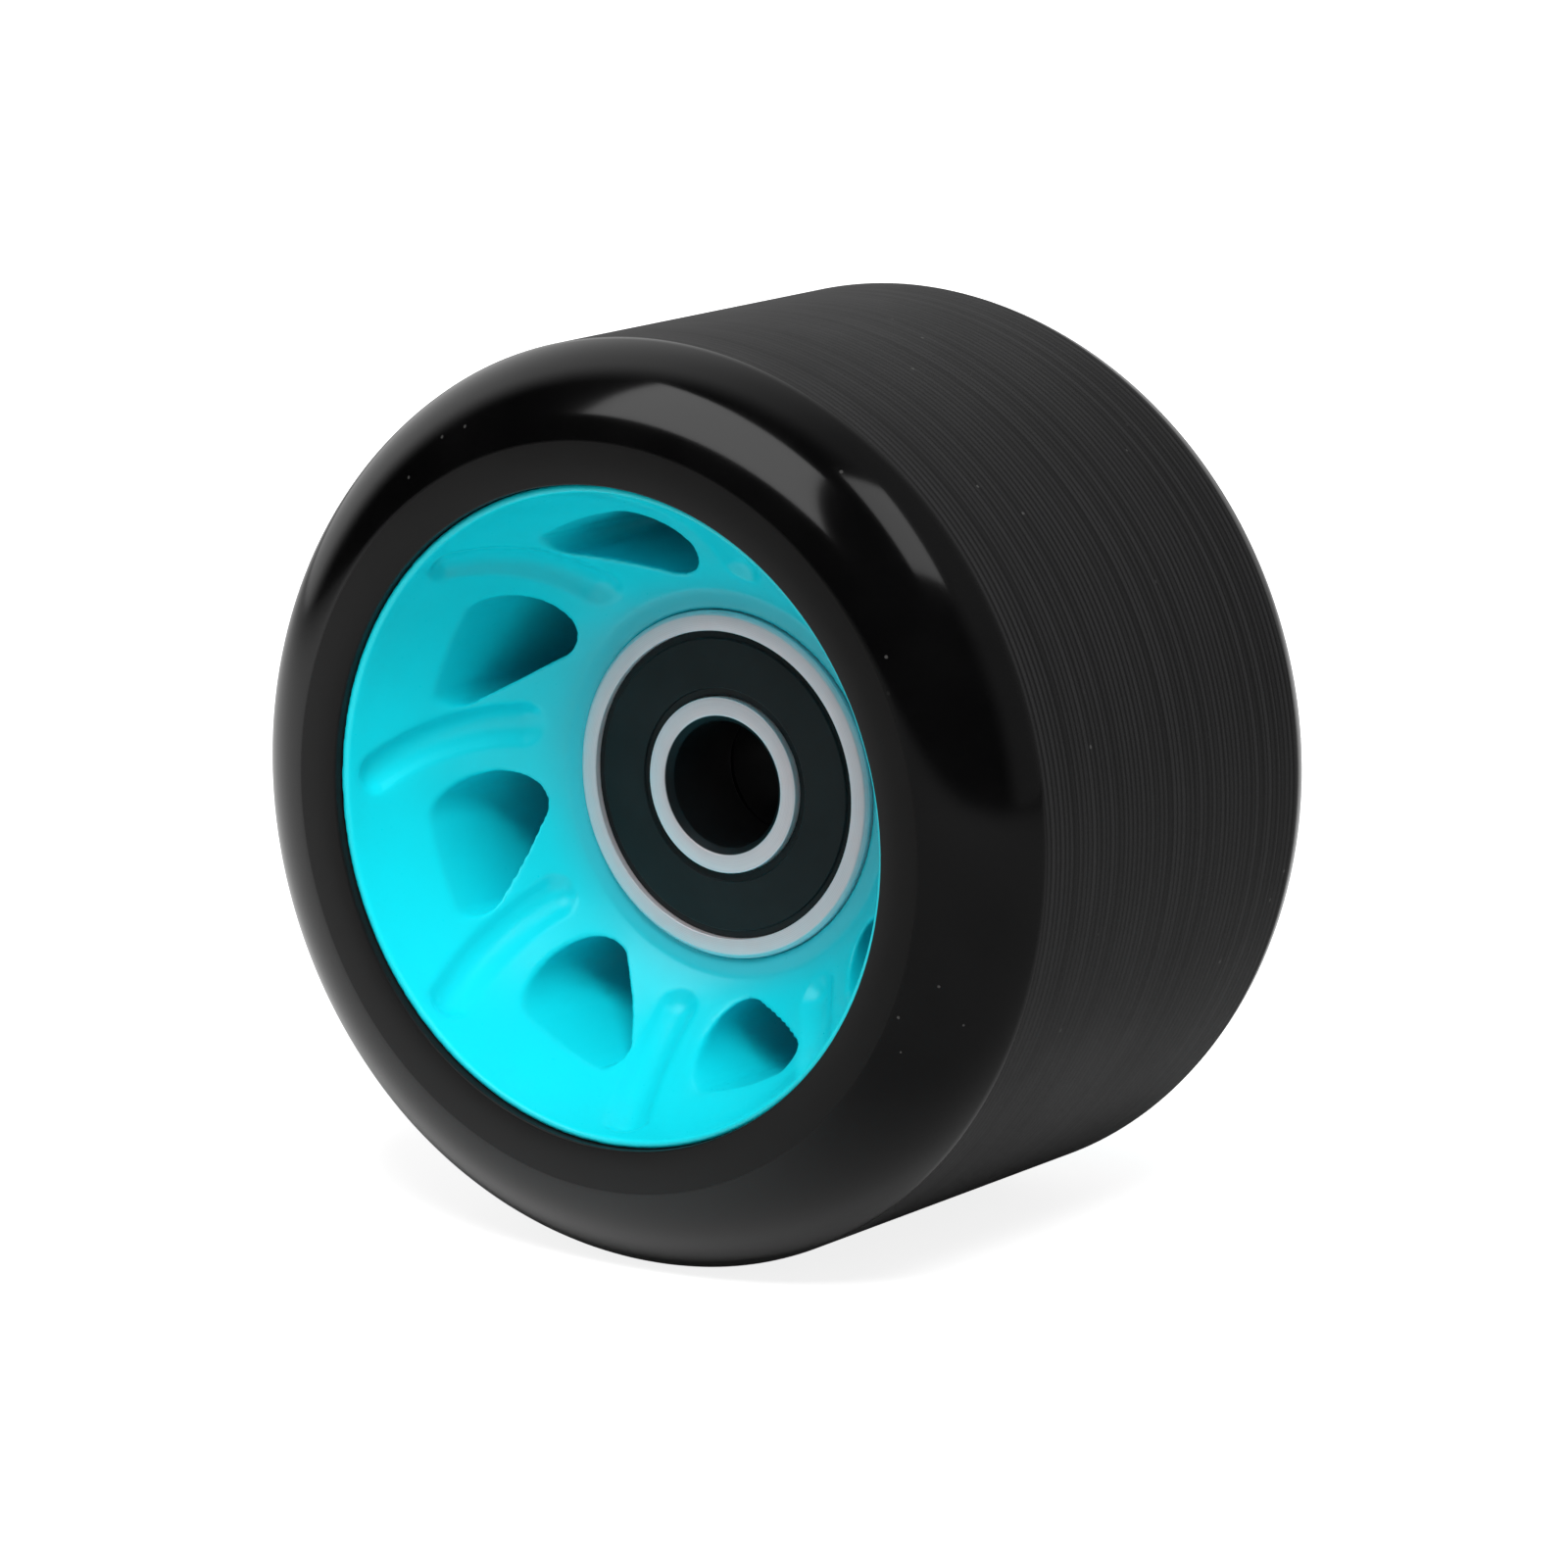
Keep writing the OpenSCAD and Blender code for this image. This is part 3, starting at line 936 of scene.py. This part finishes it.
    def build_seal(self, material: bpy.types.Material) -> None:
        """Models and dresses the seal on the open side.

        Args:
            material: its finish.
        """
        out = self.side.outward
        lip = self.seal_land + self.seal_gap
        foot = self.middle + out * self.seal_foot
        top = foot + out * self.seal_thickness
        low = top - out * self.seal_groove_depth
        bm = bmesh.new()
        pen = SectionPen(bm, lip, foot)
        pen.line(lip, low)
        pen.line(lip + self.seal_groove, low)
        pen.line(lip + self.seal_groove, top)
        pen.line(self.seal_seat - self.seal_groove, top)
        pen.line(self.seal_seat - self.seal_groove, low)
        pen.line(self.seal_seat, low)
        pen.line(self.seal_seat, foot)
        pen.close()
        piece = TurnedPiece(self._name("outer_seal"), self.steps, self.seal_edge_break).turn(bm)
        keep_flats(piece)
        dress(piece, material, Body.WHEEL, f"{self.side.value}_outer_seal")


@dataclass(frozen=True)
class SoftBox:
    """A rectangular lamp that faces the wheel from a direction, with its radiance, where 1 is white."""

    name: str
    towards: tuple[float, float, float]
    distance: float
    size: Span
    radiance: float
    mirrored: bool = True
    lighting: bool = True

    def build(self) -> None:
        """Places the lamp, for glossy surfaces if it is mirrored and for dull ones if it is lighting."""
        data = bpy.data.lights.new(self.name, "AREA")
        data.shape = "RECTANGLE"
        data.size, data.size_y = self.size
        data.energy = self.radiance * math.pi * self.size[0] * self.size[1]
        lamp = bpy.data.objects.new(self.name, data)
        direction = Vector(self.towards).normalized()
        lamp.location = direction * self.distance
        lamp.rotation_euler = (-direction).to_track_quat("-Z", "Y").to_euler()
        lamp.visible_glossy = self.mirrored
        lamp.visible_diffuse = self.lighting
        bpy.context.scene.collection.objects.link(lamp)


@dataclass
class Studio:
    """A pale floor in a white room, soft boxes above the wheel, and the camera.

    In reflections the room is bright behind the wheel and on its left, and dark in front, so that black gloss
    shows light and dark bands.
    """

    SOFT_BOXES = (
        SoftBox("key box", (-0.25, -0.62, 0.74), 0.7, (0.5, 0.46), 2.0, lighting=False),
        SoftBox("side box", (0.48, -0.2, 0.84), 0.7, (0.26, 0.3), 1.45),
        SoftBox("right fill", (0.35, -0.45, 0.82), 0.9, (0.5, 0.5), 12.0, mirrored=False),
    )

    azimuth: float = math.radians(35.09)
    elevation: float = math.radians(11.61)
    distance: float = 497.5 * MM
    lens: float = 181.5
    sensor: float = 36.0
    picture: float = 1600.0
    centre_px: tuple[float, float] = (800.7, 783.2)
    ambient: float = 0.2
    room_behind: Span = (-0.26, 0.1)
    room_leftward: Span = (-0.25, 0.6)
    room_gloss: Span = (0.14, 0.56)
    floor_half_width: float = 6.0
    floor_tone: Colour = (0.85, 0.85, 0.85)
    # Floor colours that only reflections see: painted shade and a painted pool of light.
    floor_painted_shade: Colour = (0.15, 0.15, 0.15)
    floor_painted_light: Colour = (0.8, 0.8, 0.8)
    painted_light_direction: tuple[float, float, float] = (-0.7, 0.7, 0.0)
    floor_edge: Span = (-0.045, -0.01)
    floor_fade: Span = (-0.01, 0.05)
    floor_fade_to: float = 0.2
    glow_reach: Span = (0.06, 0.3)
    glow_near: float = 0.84

    def build_camera(self) -> None:
        """Places the camera at the photograph's angle, aimed at the middle of the wheel."""
        data = bpy.data.cameras.new("camera")
        data.lens = self.lens
        data.sensor_width = self.sensor
        data.shift_x = 0.5 - self.centre_px[0] / self.picture
        data.shift_y = self.centre_px[1] / self.picture - 0.5
        data.clip_start = 1 * MM
        away = Vector((math.sin(self.azimuth) * math.cos(self.elevation),
                       -math.cos(self.azimuth) * math.cos(self.elevation), math.sin(self.elevation)))
        camera = bpy.data.objects.new("camera", data)
        camera.location = away * self.distance
        camera.rotation_euler = (-away).to_track_quat("-Z", "Y").to_euler()
        bpy.context.scene.collection.objects.link(camera)
        bpy.context.scene.camera = camera

    def build_lights(self) -> None:
        """Places two soft boxes that gloss shows, the key box in gloss only, and a fill that it doesn't."""
        for box in self.SOFT_BOXES:
            box.build()

    def build_world(self) -> None:
        """Builds the room: white past the wheel, graded in reflections, and a faint fill on dull surfaces."""
        world = bpy.data.worlds.new("studio")
        world.use_nodes = True
        bench = NodeBench(world.node_tree)
        background = next(node for node in world.node_tree.nodes if node.type == "BACKGROUND")
        direction = bench.split(bench.add("ShaderNodeTexCoord").outputs["Generated"])
        path = bench.add("ShaderNodeLightPath").outputs
        behind = bench.ramp(direction["Y"], *self.room_behind)
        leftward = bench.math("MULTIPLY", direction["X"], -1.0)
        leftward = bench.ramp(leftward, *self.room_leftward, *self.room_gloss)
        glossy = bench.math("MULTIPLY", bench.math("MULTIPLY", behind, leftward), path["Is Glossy Ray"])
        seen = bench.math("MAXIMUM", path["Is Camera Ray"], path["Is Transmission Ray"])
        ambient = bench.math("MULTIPLY", path["Is Diffuse Ray"], self.ambient)
        strength = bench.math("MAXIMUM", bench.math("MAXIMUM", glossy, ambient), seen)
        bench.feed(background.inputs["Color"], (1.0, 1.0, 1.0))
        bench.feed(background.inputs["Strength"], strength)
        bpy.context.scene.world = world

    def floor_material(self) -> bpy.types.Material:
        """Builds the floor's material.

        Returns:
            A pale material that is white for the camera outside the shadow; in reflections it shows a painted
            pool of light to the left of and behind the wheel, and painted shade in front.
        """
        material, bench, shader = blank_material("pale floor")
        path = bench.add("ShaderNodeLightPath").outputs
        place = bench.place()
        # Painted reflection: glossy rays see the floor painted light to the left of and behind the wheel,
        # fading towards +X, and dark in front.
        across = bench.add("ShaderNodeVectorMath", operation="DOT_PRODUCT")
        bench.feed(across.inputs[0], place)
        bench.feed(across.inputs[1], self.painted_light_direction)
        fade = bench.ramp(bench.split(place)["X"], *self.floor_fade, 1.0, self.floor_fade_to)
        painted_light_mask = bench.math("MULTIPLY", bench.ramp(across.outputs["Value"], *self.floor_edge), fade)
        mirrored = bench.blend(painted_light_mask, self.floor_painted_shade, self.floor_painted_light)
        colour = bench.blend(path["Is Glossy Ray"], self.floor_tone, mirrored)
        bench.feed(shader.inputs["Base Color"], colour)
        bench.feed(shader.inputs["Roughness"], 0.9)
        bench.feed(shader.inputs["Specular IOR Level"], 0.1)
        bench.feed(shader.inputs["Emission Color"], (1.0, 1.0, 1.0))
        away = bench.add("ShaderNodeVectorMath", operation="LENGTH")
        bench.feed(away.inputs[0], place)
        glow = bench.ramp(away.outputs["Value"], *self.glow_reach, self.glow_near, 1.0)
        bench.feed(shader.inputs["Emission Strength"], bench.math("MULTIPLY", path["Is Camera Ray"], glow))
        return material

    def build_floor(self) -> None:
        """Lays the pale floor under the tread."""
        bm = bmesh.new()
        bmesh.ops.create_grid(bm, x_segments=1, y_segments=1, size=self.floor_half_width)
        bmesh.ops.translate(bm, verts=bm.verts, vec=(0, 0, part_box("tyre")[0].z))
        floor = settle(bm, "floor")
        floor.data.materials.append(self.floor_material())


class Wheel:
    """The whole dressed wheel."""

    def __init__(self, effects: SurfaceEffects) -> None:
        """Measures the sub-assemblies and makes their finishes.

        Args:
            effects: the shared node groups.
        """
        self.tyre = Tyre()
        self.hub = Hub()
        self.bearings = [Bearing(side) for side in Side]
        bearing = self.bearings[0]
        finishes = {
            Slot.TYRE: UrethaneFinish(
                "black urethane", (0.0015, 0.0015, 0.0016), tread_colour=(0.022, 0.022, 0.0225),
                side_colour=(0.007, 0.0068, 0.0068), tread_half_width=self.tyre.tread_width / 2,
                tread_radius=self.tyre.radius, side_radius=self.tyre.side_radius),
            # The hub's greyer, darker colour round the bearing seat is painted shade and painted sheen.
            Slot.HUB: HubPlasticFinish(
                "cyan plastic", (0.004, 0.68, 0.78), shade=(0.004, 0.61, 0.69), painted_seat_shade=(0.035, 0.52, 0.61),
                painted_shade_from=bearing.radius),
            Slot.RACE: GroundSteelFinish(
                "ground steel", (0.95, 0.82, 0.84), bore_rim=bearing.bore_radius + bearing.bore_chamfer),
            Slot.BALL: GrainFinish(
                "polished steel", (0.72, 0.72, 0.73), shade=(0.66, 0.66, 0.68), roughness=0.08, metallic=1.0,
                grain=20000.0, grain_depth=0.0003 * MM),
            Slot.CAGE: GrainFinish("nylon", (0.78, 0.74, 0.64), shade=(0.7, 0.66, 0.55), roughness=0.5),
            Slot.SEAL: GrainFinish(
                "seal rubber", (0.006, 0.009, 0.0098), shade=(0.009, 0.0125, 0.0135), roughness=0.45,
                grain_depth=0.006 * MM, gloss=0.25),
            Slot.SPACER: GrainFinish(
                "black anodised", (0.012, 0.012, 0.013), shade=(0.02, 0.02, 0.022), roughness=0.3,
                metallic=0.6),
        }
        self.materials = {slot: finish.material(effects) for slot, finish in finishes.items()}

    def build(self) -> None:
        """Models and dresses every piece."""
        self.tyre.build(self.materials[Slot.TYRE])
        self.hub.build(self.materials[Slot.HUB])
        for bearing in self.bearings:
            bearing.build_outer_race(self.materials[Slot.RACE])
            bearing.build_inner_race(self.materials[Slot.RACE])
            bearing.build_seal(self.materials[Slot.SEAL])
        self.finish_packed_nodes()

    def finish_packed_nodes(self) -> None:
        """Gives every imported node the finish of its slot."""
        for subpart in frame["record"]["subparts"]:
            node = frame["nodes"][subpart["node"]]
            material = self.materials[Slot(subpart["material_slot"])]
            for place in node.material_slots:
                place.material = material
            LOG.info("%s is finished in %s", node.name, material.name)


def main() -> None:
    """Builds the wheel and the studio in order."""
    logging.basicConfig(level=logging.INFO, format="%(message)s")
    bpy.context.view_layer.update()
    bpy.context.scene.view_settings.view_transform = "Standard"
    studio = Studio()
    studio.build_camera()
    Wheel(SurfaceEffects()).build()
    studio.build_floor()
    studio.build_lights()
    studio.build_world()


if __name__ == "__main__":
    main()
